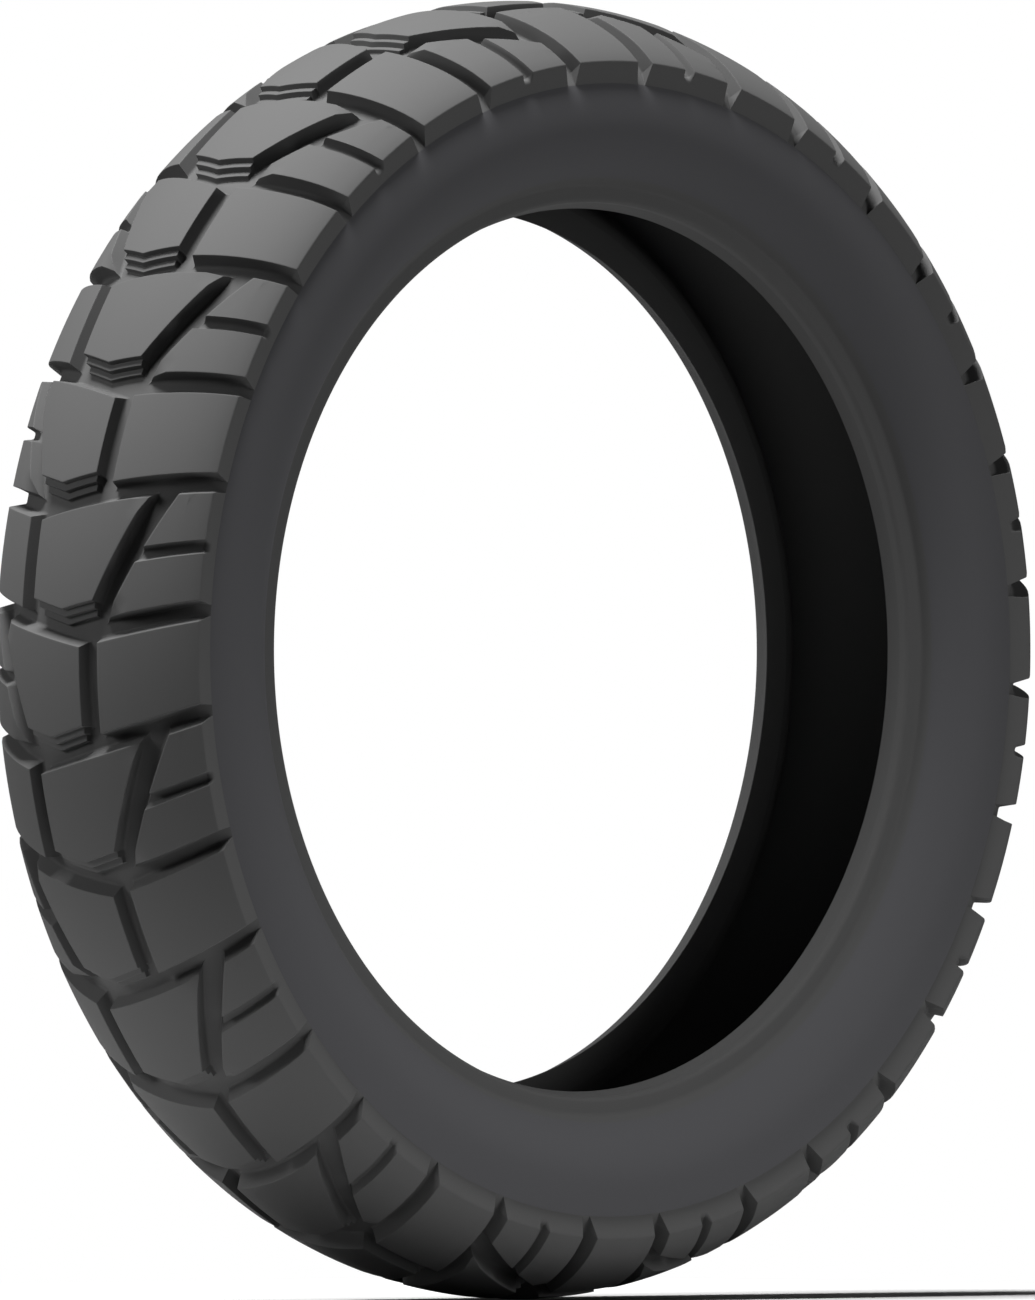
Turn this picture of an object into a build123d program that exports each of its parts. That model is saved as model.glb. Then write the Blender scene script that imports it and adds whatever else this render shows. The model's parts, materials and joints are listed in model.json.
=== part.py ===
"""Block-tread tubeless motorcycle tire, built up the way a real one is laid up.

Frame: origin at the wheel centre, the wheel's axle along Y, +Z up. The right-hand side of the
tire is -Y and the left-hand side is +Y. Cross-sections are drawn in the XY plane, where X is the
distance from the axle and Y the distance from the tire's middle plane, and are then spun about
the axle. All lengths are in millimetres and all angles in degrees.
"""
from build123d import *
import os
from math import acos, atan2, cos, degrees, radians, sin, sqrt

os.makedirs("parts", exist_ok=True)

# Outer shape
outer_radius = 335.2
crown_arc_radius = 103.7
crown_arc_angle = 35.0
shoulder_arc_radius = 66.1
shoulder_angle = 51.5
crease_drop = 43.2
widest_drop = 62.1
section_half_width = 72.8
upper_sidewall_arc_radius = 66.7

# Beads, which sit on the rim
seat_radius = 230.6
seat_land_length = 4.0
heel_half_spacing = 55.8
heel_round = 2.5
toe_drop = 3.0
bead_width = 11.8
flange_height = 9.1
flange_lean = 0.4
flange_fillet = 3.0

# Thickness of each layer
tread_depth = 8.6
undertread_thickness = 3.0
belt_thickness = 1.2
ply_thickness = 1.2
liner_thickness = 1.5
sidewall_thickness = 3.0
chafer_thickness = 1.6
seat_cover_thickness = 1.3
turn_up_cover = 2.2

# Belts, measured round the crown from the middle plane
inner_belt_half_width = 51.0
outer_belt_half_width = 45.0

# Bead core
wire_diameter = 1.2
wire_gap = 0.05
wire_rows = 4
wire_columns = 4
core_margin = 0.5
core_face_lean = 0.3

# How the plies run from the sidewall to the bead and back; shares are of the height between
# their widest place and the bead's leg
widest_bend_share = 0.58656
bead_bend_share = 0.29328
bead_leg_length = 1.5
turn_up_bend_radius = 3.6
turn_up_end_share = 0.4503

# Where the sidewall rubber gives way to the chafer, as a share of the way to the flange corner
chafer_edge_share = 0.8513
splice_length = 5.0

# Tread pattern: lateral places are lengths round the outer surface from the middle plane, and
# places round the tire are shares of one pitch
pitch_count = 16
leading_draft = 20.0
trailing_draft = 9.5
side_draft = 8.0
block_side = 17.0
straight_groove_width = 10.9
step_height = 2.9
step_share = 0.030
beak_drop = 6.5
inner_point_drop = 7.5
split_groove_depth = 5.0

# Corners of the blocks, each a lateral place and a share of a pitch
shoulder_side = block_side + straight_groove_width
center_front = [(-block_side, 0.489), (40.1, 0.393), (44.6, 0.444)]
center_back = [(24.4, 0.805), (5.0, 0.841), (-block_side, 0.798)]
beak_apex = (56.2, 0.338)
large_inner = [(shoulder_side, -0.028), (shoulder_side, 0.331)]
large_outer_shares = (-0.124, 0.229)
split_inner = [(64.9, 0.351), (36.8, 0.809), (41.2, 0.856)]
split_outer_shares = (0.318, 0.786)
inner_point_apex = (29.6, 0.895)
groove_inner = [(50.5, 0.580), (46.7, 0.649)]
groove_outer_shares = (0.522, 0.584)

# Sizes that follow
crease_radius = outer_radius - crease_drop
widest_radius = outer_radius - widest_drop
toe_radius = seat_radius - toe_drop
toe_half_spacing = heel_half_spacing - bead_width
wire_spacing = wire_diameter + wire_gap
pitch = 360.0 / pitch_count
axle = Axis((0, 0, 0), (0, -1, 0))


def direction(angle):
    """Unit vector in the cross-section, turned by an angle from the radial direction."""
    return Vector(cos(radians(angle)), sin(radians(angle)))


class Track:
    """A run of tangent arcs and straight lines in the cross-section.

    Each joint has a side direction, which starts as the given angle from the radial direction.
    The same track shifted to its side by an offset keeps the same arc centres.
    """

    def __init__(self, start, side_angle=0.0):
        self.points = [Vector(*start)]
        self.angles = [side_angle]
        self.centres = []

    def bend(self, radius, turn):
        """Add an arc. A positive turn bends away from the side, a negative one towards it."""
        reach = radius if turn > 0 else -radius
        centre = self.points[-1] - direction(self.angles[-1]) * reach
        self.centres.append(centre)
        self.angles.append(self.angles[-1] + turn)
        self.points.append(centre + direction(self.angles[-1]) * reach)

    def run(self, length):
        """Add a straight line."""
        self.centres.append(None)
        self.points.append(self.points[-1] + direction(self.angles[-1] + 90) * length)
        self.angles.append(self.angles[-1])

    def point(self, joint, offset=0.0):
        """A joint's place on the track shifted by an offset."""
        return self.points[joint] + direction(self.angles[joint]) * offset

    def edges(self, offset, first, last):
        """The edges from one joint to another on the track shifted by an offset."""
        found = []
        for joint in range(first, last):
            start = self.point(joint, offset)
            end = self.point(joint + 1, offset)
            centre = self.centres[joint]
            if centre is None:
                found.append(Line(start, end))
                continue
            halfway = direction((self.angles[joint] + self.angles[joint + 1]) / 2)
            reach = (start - centre).dot(direction(self.angles[joint]))
            found.append(ThreePointArc(start, centre + halfway * reach, end))
        return found

    def band(self, low, high, first, last):
        """The face between two offsets, from one joint to another."""
        ends = [Line(self.point(joint, low), self.point(joint, high)) for joint in (first, last)]
        return make_face(self.edges(low, first, last) + self.edges(high, first, last) + ends)


def arc_point(centre, radius, tilt):
    """Point on an arc that is tilt degrees below its widest point."""
    return Vector(centre.X - radius * sin(radians(tilt)), centre.Y + radius * cos(radians(tilt)))


def both_sides(face):
    """A face joined to its mirror image across the middle plane."""
    return face + mirror(face, Plane.XZ)


def spin(face):
    """The solid that a cross-section sweeps in a full turn about the axle."""
    return revolve(face, Axis.Y)


# Outer surface of the tread, from the crown to the shoulder corner
tread = Track((outer_radius, 0))
tread.bend(crown_arc_radius, crown_arc_angle)
tread.bend(shoulder_arc_radius, shoulder_angle - crown_arc_angle)
crown_half_width = crown_arc_radius * radians(crown_arc_angle)
tread_half_width = crown_half_width + shoulder_arc_radius * radians(shoulder_angle - crown_arc_angle)

# Outer surface of the sidewall: an arc from the crease to the widest point, then one to the bead
upper_centre = Vector(widest_radius, section_half_width - upper_sidewall_arc_radius)
crease_tilt = -degrees(atan2(crease_radius - widest_radius,
                             sqrt(upper_sidewall_arc_radius**2 - (crease_radius - widest_radius)**2)))
crease = arc_point(upper_centre, upper_sidewall_arc_radius, crease_tilt)
flange_corner = Vector(seat_radius + flange_height, heel_half_spacing + flange_lean)
drop = widest_radius - flange_corner.X
narrowing = section_half_width - flange_corner.Y
lower_arc_radius = (drop**2 + narrowing**2) / (2 * narrowing)
lower_centre = Vector(widest_radius, section_half_width - lower_arc_radius)
flange_tilt = degrees(acos((flange_corner.Y - lower_centre.Y) / lower_arc_radius))
chafer_edge_tilt = chafer_edge_share * flange_tilt
chafer_edge = arc_point(lower_centre, lower_arc_radius, chafer_edge_tilt)

# Bead core and the hook of ply around it
core_half_width = wire_columns * wire_spacing / 2 + core_margin
hook_radius = core_half_width + ply_thickness
core_middle = heel_half_spacing + core_face_lean - chafer_thickness - hook_radius
hook_centre = seat_radius + seat_cover_thickness + hook_radius
core_top = hook_centre + (wire_rows - 1) * wire_spacing + wire_diameter / 2 + core_margin

# Outer face of the plies, from the crown down to the bead core, round it and up the outside
belt_face_radius = outer_radius - tread_depth - undertread_thickness
ply_face_radius = belt_face_radius - 2 * belt_thickness
ply_crown_arc = ply_face_radius - (outer_radius - crown_arc_radius)
ply_widest = section_half_width - sidewall_thickness
sine = sin(radians(crown_arc_angle))
ply_shoulder_arc = (ply_widest - ply_crown_arc * sine) / (1 - sine)
plies = Track((ply_face_radius, 0))
plies.bend(ply_crown_arc, crown_arc_angle)
shoulder_centre = plies.points[1] - direction(crown_arc_angle) * ply_shoulder_arc
edge_angle = degrees(atan2(crease.Y - shoulder_centre.Y, crease.X - shoulder_centre.X))
plies.bend(ply_shoulder_arc, edge_angle - crown_arc_angle)
plies.bend(ply_shoulder_arc, 90 - edge_angle)

# The plies then lean in towards the core on two bends and the line that joins them
leg_side = core_middle - core_half_width + ply_thickness
leg_start = core_top + bead_leg_length
lean_run = plies.points[3].X - leg_start
widest_bend_radius = widest_bend_share * lean_run
bead_bend_radius = bead_bend_share * lean_run
bends = widest_bend_radius + bead_bend_radius
rise = bends - (plies.points[3].Y - leg_side)
lean_length = sqrt(lean_run**2 + rise**2 - bends**2)
lean_angle = degrees(atan2(bends, lean_length) - atan2(rise, lean_run))

# The turned-up ply follows the lower sidewall, and the filler ends beside its edge
turn_up_radius = lower_arc_radius - turn_up_cover
turn_up_face = core_middle + hook_radius
turn_up_lean = degrees(acos((turn_up_face + turn_up_bend_radius - lower_centre.Y)
                            / (turn_up_radius + turn_up_bend_radius)))
turn_up_start = widest_radius - (turn_up_radius + turn_up_bend_radius) * sin(radians(turn_up_lean))
turn_up_end_tilt = turn_up_end_share * turn_up_lean
turn_up_tip = arc_point(lower_centre, turn_up_radius - ply_thickness, turn_up_end_tilt)
widest_centre = plies.points[3] - Vector(0, widest_bend_radius)

plies.bend(widest_bend_radius, lean_angle)
plies.run(lean_length)
plies.bend(bead_bend_radius, -lean_angle)
plies.run(leg_start - hook_centre)
plies.bend(core_middle - leg_side, -180)
plies.run(turn_up_start - hook_centre)
plies.bend(turn_up_bend_radius + 2 * ply_thickness, turn_up_lean)
plies.bend(turn_up_radius - 2 * ply_thickness, turn_up_end_tilt - turn_up_lean)
crown, edge_joint, widest_joint, lean_end, leg_joint, end_joint = 0, 2, 3, 5, 6, 11

# Offsets of the layers from the outer face of the outer ply
ply_split = -ply_thickness
ply_inside = -2 * ply_thickness
liner_inside = ply_inside - liner_thickness


# Sections of the layers
def belt_face(half_width, low):
    """One belt ply, lying on the crown between two offsets from the plies."""
    track = Track((ply_face_radius, 0))
    track.bend(ply_crown_arc, degrees(half_width / ply_crown_arc))
    return track.band(low, low + belt_thickness, 0, 1)


inner_ply = plies.band(ply_inside, ply_split, crown, end_joint)
outer_ply = plies.band(ply_split, 0, crown, lean_end)
liner = plies.band(liner_inside, ply_inside, crown, leg_joint)
inner_belt = belt_face(inner_belt_half_width, 0)
outer_belt = belt_face(outer_belt_half_width, belt_thickness)

# The space between the outer ply and the turned-up one, closed by a line past the turned-up end
tip_way = (turn_up_tip - widest_centre).normalized()
turn_up_end = plies.point(end_joint, ply_split)
pocket = make_face(plies.edges(ply_split, widest_joint, end_joint) + [
    Line(turn_up_end, (turn_up_end.X, section_half_width)),
    Line((turn_up_end.X, section_half_width), (widest_radius, section_half_width)),
    Line((widest_radius, section_half_width), plies.point(widest_joint, ply_split)),
])
pocket = split(pocket, Plane(origin=turn_up_tip, z_dir=Vector(tip_way.Y, -tip_way.X)), keep=Keep.BOTTOM)
above_core = Pos(core_top + outer_radius / 2, core_middle) * Rectangle(outer_radius, outer_radius)
core_blank = pocket - above_core
filler = (pocket & above_core) - outer_ply
wire_places = [
    (hook_centre + row * wire_spacing, core_middle + (column - (wire_columns - 1) / 2) * wire_spacing)
    for row in range(wire_rows)
    for column in range(wire_columns)
]
wires = Sketch() + [Pos(*place) * Circle(wire_diameter / 2) for place in wire_places]
core_rubber = core_blank - wires

# Sections of the outer rubber
lowered_corner = tread.point(2, -tread_depth)
tread_base = make_face(tread.edges(-tread_depth, 0, 2) + [
    Line(lowered_corner, crease),
    Line(crease, plies.point(edge_joint)),
    *plies.edges(0, crown, edge_joint),
    Line(plies.point(crown), tread.point(0, -tread_depth)),
]) - inner_belt - outer_belt

inside_filler = chafer_edge + direction(chafer_edge_tilt - 90) * splice_length
sidewall = make_face([
    ThreePointArc(crease, arc_point(upper_centre, upper_sidewall_arc_radius, crease_tilt / 2),
                  arc_point(upper_centre, upper_sidewall_arc_radius, 0)),
    ThreePointArc(arc_point(lower_centre, lower_arc_radius, 0),
                  arc_point(lower_centre, lower_arc_radius, chafer_edge_tilt / 2), chafer_edge),
    Line(chafer_edge, inside_filler),
    Line(inside_filler, plies.point(lean_end)),
    *plies.edges(0, edge_joint, lean_end),
    Line(plies.point(edge_joint), crease),
]) - inner_ply - filler

heel = Vector(seat_radius, heel_half_spacing)
land_end = heel - Vector(0, heel_round + seat_land_length)
chafer = make_face([
    ThreePointArc(chafer_edge, arc_point(lower_centre, lower_arc_radius,
                                         (chafer_edge_tilt + flange_tilt) / 2), flange_corner),
    Line(flange_corner, heel),
    Line(heel, land_end),
    Line(land_end, (toe_radius, toe_half_spacing)),
    Line((toe_radius, toe_half_spacing), plies.point(leg_joint, liner_inside)),
    Line(plies.point(leg_joint, liner_inside), plies.point(leg_joint)),
    Line(plies.point(leg_joint), inside_filler),
    Line(inside_filler, chafer_edge),
])
chafer = fillet(chafer.vertices().sort_by_distance(heel)[0], heel_round)
chafer = fillet(chafer.vertices().sort_by_distance(flange_corner)[0], flange_fillet)
chafer = chafer - inner_ply - filler - core_blank


# Tread blocks
def tread_place(lateral, share, depth=0.0):
    """Point of the tread surface, lowered by a depth, and the direction out of the surface."""
    if abs(lateral) <= crown_half_width:
        joint, tilt = 0, degrees(abs(lateral) / crown_arc_radius)
    else:
        joint = 1
        tilt = crown_arc_angle + degrees((abs(lateral) - crown_half_width) / shoulder_arc_radius)
    reach = (crown_arc_radius, shoulder_arc_radius)[joint] - depth
    flat = tread.centres[joint] + direction(tilt) * reach
    side = -1 if lateral > 0 else 1
    place = Vector(flat.X, side * flat.Y, 0)
    normal = Vector(cos(radians(tilt)), side * sin(radians(tilt)), 0)
    turn = share * pitch
    return place.rotate(axle, turn), normal.rotate(axle, turn)


def keep_inside(block, start, end, draft):
    """Cut a block with the drafted wall that stands on the line between two surface places.

    The block lies to the right of the line as it is seen from outside, with the right-hand side
    of the tire to the right and the pitch running down.
    """
    first, first_normal = tread_place(*start)
    second, second_normal = tread_place(*end)
    along = (second - first).normalized()
    up = first_normal + second_normal
    up = (up - along * up.dot(along)).normalized()
    out = up.cross(along)
    wall = out * cos(radians(draft)) + up * sin(radians(draft))
    return split(block, Plane(origin=first, z_dir=wall), keep=Keep.BOTTOM)


def facet(block, corners):
    """Cut a block with the plane through three places, each with its depth."""
    first, second, third = [tread_place(*corner)[0] for corner in corners]
    normal = (second - first).cross(third - first).normalized()
    if normal.dot(tread_place(*corners[0])[1]) < 0:
        normal = -normal
    return split(block, Plane(origin=first, z_dir=normal), keep=Keep.BOTTOM)


def sector(face, low, high):
    """Part of the ring that a section sweeps, between two shares of a pitch."""
    return revolve(face.rotate(axle, low * pitch), axle, (high - low) * pitch)


# The shoulder blocks reach from the tread surface over the corner to the crease in the side
crown_band = both_sides(tread.band(-tread_depth, 0, 0, 1))
shoulder_band = tread.band(-tread_depth, 0, 0, 2) + make_face([
    Line(tread.point(2), crease),
    Line(crease, lowered_corner),
    Line(lowered_corner, tread.point(2)),
])
shoulder_band = mirror(shoulder_band, Plane.XZ)
groove_end = tread.point(2, -split_groove_depth)
groove_tail = groove_end + direction(shoulder_angle + 90) * tread_depth
groove_band = make_face(tread.edges(-split_groove_depth, 0, 2) + [
    Line(groove_end, groove_tail),
    Line(groove_tail, (outer_radius + tread_depth, groove_tail.Y)),
    Line((outer_radius + tread_depth, groove_tail.Y), (outer_radius + tread_depth, 0)),
    Line((outer_radius + tread_depth, 0), tread.point(0, -split_groove_depth)),
])
groove_band = mirror(groove_band, Plane.XZ)


def center_block():
    """Block beside the middle plane, with a beak in front and a chevron of steps behind."""
    front, back = center_front, center_back
    block = sector(crown_band, 0.2, 1.0)
    block = keep_inside(block, front[0], front[1], leading_draft)
    block = keep_inside(block, front[2], back[0], side_draft)
    block = keep_inside(block, back[0], back[1], trailing_draft)
    block = keep_inside(block, back[1], back[2], trailing_draft)
    block = keep_inside(block, back[2], front[0], side_draft)
    block = facet(block, [front[1], front[2], (*beak_apex, beak_drop)])
    for count in (1, 2):
        lowered = both_sides(tread.band(-tread_depth, -count * step_height, 0, 1))
        step = sector(lowered, 0.6, 1.0)
        behind = [(side, share + count * step_share) for side, share in back]
        step = keep_inside(step, (back[0][0], 0.6), behind[0], 0)
        step = keep_inside(step, behind[0], behind[1], trailing_draft)
        step = keep_inside(step, behind[1], behind[2], trailing_draft)
        step = keep_inside(step, behind[2], (back[2][0], 0.6), 0)
        block += step
    return block


def large_shoulder_block():
    """Wide block that runs from the straight groove over the shoulder corner."""
    front_inner, back_inner = large_inner
    front_outer, back_outer = [(tread_half_width, share) for share in large_outer_shares]
    block = sector(shoulder_band, -0.3, 0.5)
    block = keep_inside(block, front_inner, front_outer, leading_draft)
    block = keep_inside(block, back_outer, back_inner, trailing_draft)
    return keep_inside(block, back_inner, front_inner, side_draft)


def split_shoulder_block():
    """Narrower shoulder block, split in two above a tie bar by a shallow groove."""
    front_inner, point_side, back_inner = split_inner
    front_outer, back_outer = [(tread_half_width, share) for share in split_outer_shares]
    block = sector(shoulder_band, 0.1, 1.1)
    block = keep_inside(block, front_inner, front_outer, leading_draft)
    block = keep_inside(block, back_outer, back_inner, trailing_draft)
    block = keep_inside(block, point_side, front_inner, side_draft)
    block = facet(block, [back_inner, point_side, (*inner_point_apex, inner_point_drop)])
    groove_front, groove_back = groove_inner
    front_end, back_end = [(tread_half_width, share) for share in groove_outer_shares]
    groove = sector(groove_band, 0.3, 0.9)
    groove = keep_inside(groove, back_end, groove_back, -leading_draft)
    groove = keep_inside(groove, groove_front, front_end, -trailing_draft)
    return block - groove


def repeated(block):
    """One block in every pitch round the tire."""
    return [block.rotate(axle, index * pitch) for index in range(pitch_count)]


def for_the_left(block):
    """The left-hand side's block: a mirror image, half a pitch further round."""
    return mirror(block, Plane.XZ).rotate(axle, pitch / 2)


# The solids of each node
nodes = {
    "inner_liner": [spin(both_sides(liner))],
    "carcass_ply_inner": [spin(both_sides(inner_ply))],
    "carcass_ply_outer": [spin(both_sides(outer_ply))],
    "belt_ply_inner": [spin(both_sides(inner_belt))],
    "belt_ply_outer": [spin(both_sides(outer_belt))],
    "tread_base": [spin(both_sides(tread_base))],
}
sections = {
    "sidewall": sidewall,
    "chafer": chafer,
    "bead_filler": filler,
    "bead_core_rubber": core_rubber,
    "bead_wires": wires,
}
for name, section in sections.items():
    nodes[name + "_left"] = [spin(section)]
    nodes[name + "_right"] = [spin(mirror(section, Plane.XZ))]
pattern = {
    "center_blocks": center_block(),
    "shoulder_blocks_large": large_shoulder_block(),
    "shoulder_blocks_split": split_shoulder_block(),
}
for name, block in pattern.items():
    nodes[name + "_right"] = repeated(block)
    nodes[name + "_left"] = repeated(for_the_left(block))

for name, parts in nodes.items():
    solids = [solid for part in parts for solid in part.solids()]
    export_step(Compound(children=solids), f"parts/{name}.step")
    print(name, len(solids), "solids")
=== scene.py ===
import json
import logging
import math
from dataclasses import dataclass, field
from enum import Enum
from typing import Any, Sequence

import bpy
import numpy as np
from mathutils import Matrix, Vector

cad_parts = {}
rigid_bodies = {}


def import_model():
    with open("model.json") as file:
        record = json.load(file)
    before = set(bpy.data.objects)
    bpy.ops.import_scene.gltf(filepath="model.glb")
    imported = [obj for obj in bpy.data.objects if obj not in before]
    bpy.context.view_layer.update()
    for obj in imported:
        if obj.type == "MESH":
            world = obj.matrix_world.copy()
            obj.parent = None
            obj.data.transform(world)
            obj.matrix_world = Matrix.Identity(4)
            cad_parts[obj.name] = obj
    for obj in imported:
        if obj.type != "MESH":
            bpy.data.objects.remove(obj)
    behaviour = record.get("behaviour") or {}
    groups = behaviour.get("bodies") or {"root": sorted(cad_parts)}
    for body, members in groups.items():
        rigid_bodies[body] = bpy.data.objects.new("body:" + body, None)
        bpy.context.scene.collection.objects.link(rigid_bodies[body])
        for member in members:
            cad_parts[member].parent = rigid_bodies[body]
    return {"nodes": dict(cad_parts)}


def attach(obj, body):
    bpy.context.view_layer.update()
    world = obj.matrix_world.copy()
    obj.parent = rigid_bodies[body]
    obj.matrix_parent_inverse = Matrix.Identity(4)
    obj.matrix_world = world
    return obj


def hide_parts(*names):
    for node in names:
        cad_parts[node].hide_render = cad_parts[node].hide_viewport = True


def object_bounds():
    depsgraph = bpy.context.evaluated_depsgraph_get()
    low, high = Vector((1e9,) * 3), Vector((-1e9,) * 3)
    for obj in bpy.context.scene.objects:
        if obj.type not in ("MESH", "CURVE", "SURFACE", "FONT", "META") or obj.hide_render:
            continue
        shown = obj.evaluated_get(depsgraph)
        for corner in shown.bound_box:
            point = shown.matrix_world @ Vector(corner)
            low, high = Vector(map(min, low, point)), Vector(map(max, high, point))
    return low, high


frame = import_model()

CAD_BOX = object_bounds()
LOG = logging.getLogger("tire")
MM = 0.001
BODY = "root"
SHARP_ANGLE = 38.0
Pair = tuple[float, float]


class Side(Enum):
    """The two halves of the tire; the value is the sign of the axle direction they face."""

    RIGHT = -1
    LEFT = 1

    @property
    def word(self) -> str:
        """Lower-case name, as the node names end."""
        return self.name.lower()


# ---------------------------------------------------------------------------------------------
# Shader maths
# ---------------------------------------------------------------------------------------------
@dataclass(frozen=True)
class Term:
    """A shader value that adds a Math node for every Python operator used on it."""

    bench: "Bench"
    socket: bpy.types.NodeSocket

    def __add__(self, other: Any) -> "Term":
        """Sum."""
        return self.bench.maths("ADD", self, other)

    def __radd__(self, other: Any) -> "Term":
        """Sum with the term on the right."""
        return self.bench.maths("ADD", other, self)

    def __sub__(self, other: Any) -> "Term":
        """Difference."""
        return self.bench.maths("SUBTRACT", self, other)

    def __rsub__(self, other: Any) -> "Term":
        """Difference with the term on the right."""
        return self.bench.maths("SUBTRACT", other, self)

    def __mul__(self, other: Any) -> "Term":
        """Product."""
        return self.bench.maths("MULTIPLY", self, other)


class Bench:
    """A material's node tree with one shader on its output."""

    def __init__(self, name: str) -> None:
        """Make the material.

        Args:
            name: the material's name.
        """
        self.material = bpy.data.materials.new(name)
        self.material.use_nodes = True
        self.tree = self.material.node_tree
        self.tree.nodes.clear()

    def node(self, kind: str, settings: dict[str, Any] | None = None,
             inputs: dict[Any, Any] | None = None, output: Any = 0) -> Term:
        """Add one node.

        Args:
            kind: Blender's node type.
            settings: attributes to set first.
            inputs: socket name or index to a value or a term.
            output: name or index of the output wanted.

        Returns:
            The output as a term.
        """
        made = self.tree.nodes.new(kind)
        for key, value in (settings or {}).items():
            setattr(made, key, value)
        for key, value in (inputs or {}).items():
            if isinstance(value, Term):
                self.tree.links.new(value.socket, made.inputs[key])
            else:
                made.inputs[key].default_value = value
        return Term(self, made.outputs[output])

    def maths(self, operation: str, first: Any, second: Any) -> Term:
        """A Math node on two values or terms."""
        return self.node("ShaderNodeMath", {"operation": operation}, {0: first, 1: second})

    def place(self) -> Term:
        """The point of the surface, in the object's own metres."""
        return self.node("ShaderNodeTexCoord", output="Object")

    def noise(self, size: float, detail: float = 2.0, rough: float = 0.5) -> Term:
        """Noise from 0 to 1 whose lumps are about a given size in metres."""
        return self.node("ShaderNodeTexNoise", None, {
            "Vector": self.place(), "Scale": 1.0 / size, "Detail": detail, "Roughness": rough})

    def between(self, share: Term, low: Any, high: Any) -> Term:
        """A colour that goes from one to another, terms or plain, as a share goes from 0 to 1."""
        low, high = (end if isinstance(end, Term) else (*end, 1.0) for end in (low, high))
        return self.node("ShaderNodeMix", {"data_type": "RGBA"}, {
            "Factor": share, 6: low, 7: high}, 2)

    def marked(self, name: str) -> Term:
        """The piece's own attribute of a name."""
        return self.node("ShaderNodeAttribute", {"attribute_name": name}, output="Fac")

    def bump(self, height: Term, distance: float) -> Term:
        """A normal from a height of 0 to 1 that stands for a distance in metres."""
        return self.node("ShaderNodeBump", None, {
            "Height": height, "Distance": distance, "Strength": 1.0})

    def finish(self, **sockets: Any) -> bpy.types.Material:
        """Join a Principled shader to the output.

        Args:
            **sockets: socket names, with _ for a space, to a value or a term.

        Returns:
            The finished material.
        """
        named = {key.replace("_", " "): value for key, value in sockets.items()}
        shader = self.node("ShaderNodeBsdfPrincipled", None, named)
        made = self.tree.nodes.new("ShaderNodeOutputMaterial")
        self.tree.links.new(shader.socket, made.inputs["Surface"])
        return self.material


# ---------------------------------------------------------------------------------------------
# Finishes
# ---------------------------------------------------------------------------------------------
@dataclass(frozen=True)
class Rubber:
    """Moulded black rubber: cloudy tone, a fine pebbled grain and soft uneven gloss.

    A share of the tone under 1 paints shade into the colour: the piece's own attribute runs from
    that darker share of the tone, painted shade on groove walls and floors, to the full tone on the
    block tops.
    """

    slot: str
    tone: float
    roughness: float
    grain: float = 0.00055
    grain_height: float = 0.00006
    cloud: float = 0.035
    gloss: float = 0.35
    # Share of the tone left under full painted shade.
    painted_shade_share: float = 1.0

    def make(self) -> bpy.types.Material:
        """Build the material: tone and gloss drift with wide noise, grain bumps with fine noise.

        Returns:
            The material.
        """
        bench = Bench(self.slot)
        drift = bench.noise(self.cloud, 3.0)
        fine = bench.noise(self.grain, 3.0, 0.6)
        pores = bench.noise(self.grain * 4.0, 2.0)
        share = drift * 0.6 + fine * 0.4
        colour = bench.between(share, [self.tone * 0.86] * 2 + [self.tone * 0.88],
                               [self.tone * 1.14] * 2 + [self.tone * 1.16])
        roughness = self.roughness - 0.05 + drift * 0.06 + fine * 0.04
        # Painted shade: the tone darkens towards the groove floors, where shade falls; the
        # roughness rises there as well.
        if self.painted_shade_share < 1.0:
            scuffed = bench.marked("scuffed")
            colour = bench.between(scuffed, [self.tone * self.painted_shade_share] * 3, colour)
            roughness = roughness + (1 - scuffed) * 0.15
        normal = bench.bump(fine * 0.7 + pores * 0.3, self.grain_height)
        return bench.finish(Base_Color=colour, Roughness=roughness, Normal=normal,
                            Specular_IOR_Level=self.gloss)


@dataclass(frozen=True)
class Cord:
    """Rubbered cord cloth: close parallel cords that show through a thin skin of rubber."""

    slot: str
    cord: tuple[float, float, float]
    skin: tuple[float, float, float]
    spacing: float = 0.0012
    slant: float = 1.0

    def make(self) -> bpy.types.Material:
        """Build the material: a sine wave across the cords, slanted about the axle.

        Returns:
            The material.
        """
        bench = Bench(self.slot)
        turned = bench.node("ShaderNodeMapping", None, {
            "Vector": bench.place(), "Rotation": (0.0, self.slant, self.slant)})
        ridge = bench.node("ShaderNodeTexWave", {"bands_direction": "Y"}, {
            "Vector": turned, "Scale": 0.314 / self.spacing, "Distortion": 0.4, "Detail": 1.0})
        blotch = bench.noise(0.004)
        share = ridge * 0.8 + blotch * 0.2
        return bench.finish(Base_Color=bench.between(share, self.skin, self.cord),
                            Roughness=0.82 - ridge * 0.15, Normal=bench.bump(ridge, 0.0002))


@dataclass(frozen=True)
class CoatedWire:
    """Bronze-coated steel wire with fine drawing marks."""

    slot: str
    light: tuple[float, float, float] = (0.66, 0.52, 0.34)
    dark: tuple[float, float, float] = (0.42, 0.31, 0.19)

    def make(self) -> bpy.types.Material:
        """Build the material: noise moves the coating's colour and the polish together.

        Returns:
            The material.
        """
        bench = Bench(self.slot)
        marks = bench.noise(0.0006, 4.0, 0.7)
        return bench.finish(Base_Color=bench.between(marks, self.dark, self.light),
                            Metallic=1.0, Roughness=0.25 + marks * 0.2,
                            Normal=bench.bump(marks, 0.00001))


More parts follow.
